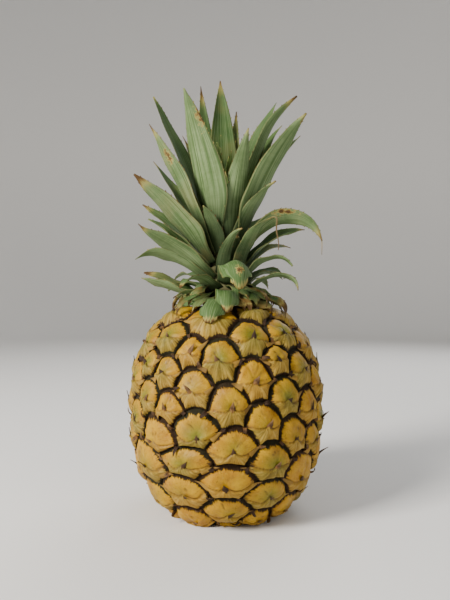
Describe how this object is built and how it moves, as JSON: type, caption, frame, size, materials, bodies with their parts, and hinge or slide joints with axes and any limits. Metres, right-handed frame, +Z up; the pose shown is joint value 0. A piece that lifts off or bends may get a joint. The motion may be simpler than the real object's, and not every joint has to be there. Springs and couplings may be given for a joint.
{
  "type": "whole pineapple",
  "caption": "Whole unpeeled pineapple with its leafy crown, standing upright on its base; barrel of diamond-shaped eyes in spirals, with stiff pointed leaves above.",
  "frame": {"origin": "middle of the flat spot under the fruit, on the surface that it stands on", "axes": "+Z up through the crown; the front of the fruit, as pictured, faces -Y; +X is to its right seen from the front"},
  "size_m": [0.1228, 0.1229, 0.278],
  "materials": {
    "skin": "ripe pineapple rind: waxy golden-orange eyes tinged green, brown grooves, dry grey-brown bract tips",
    "leaf": "stiff waxy crown leaf: grey-green with a pale bloom, fine lines along it, pale base and dry brown tip",
    "core": "pale green fibrous core of the crown, seen only between the leaf bases"
  },
  "bodies": {
    "root": {"fruit": "skin", "crown_core": "core", "leaf_01": "leaf", "leaf_02": "leaf", "leaf_03": "leaf", "leaf_04": "leaf", "leaf_05": "leaf", "leaf_06": "leaf", "leaf_07": "leaf", "leaf_08": "leaf", "leaf_09": "leaf", "leaf_10": "leaf", "leaf_11": "leaf", "leaf_12": "leaf", "leaf_13": "leaf", "leaf_14": "leaf", "leaf_15": "leaf", "leaf_16": "leaf", "leaf_17": "leaf", "leaf_18": "leaf", "leaf_19": "leaf", "leaf_20": "leaf", "leaf_21": "leaf", "leaf_22": "leaf", "leaf_23": "leaf", "leaf_24": "leaf", "leaf_25": "leaf", "leaf_26": "leaf", "leaf_27": "leaf", "leaf_28": "leaf", "leaf_29": "leaf", "leaf_30": "leaf", "leaf_31": "leaf", "leaf_32": "leaf", "leaf_33": "leaf", "leaf_34": "leaf", "leaf_35": "leaf", "leaf_36": "leaf", "leaf_37": "leaf", "leaf_38": "leaf", "leaf_39": "leaf", "leaf_40": "leaf", "leaf_41": "leaf", "leaf_42": "leaf", "leaf_43": "leaf", "leaf_44": "leaf", "leaf_45": "leaf", "leaf_46": "leaf", "leaf_47": "leaf", "leaf_48": "leaf", "leaf_49": "leaf", "leaf_50": "leaf", "leaf_51": "leaf", "leaf_52": "leaf", "leaf_53": "leaf", "leaf_54": "leaf"}
  },
  "joints": []
}
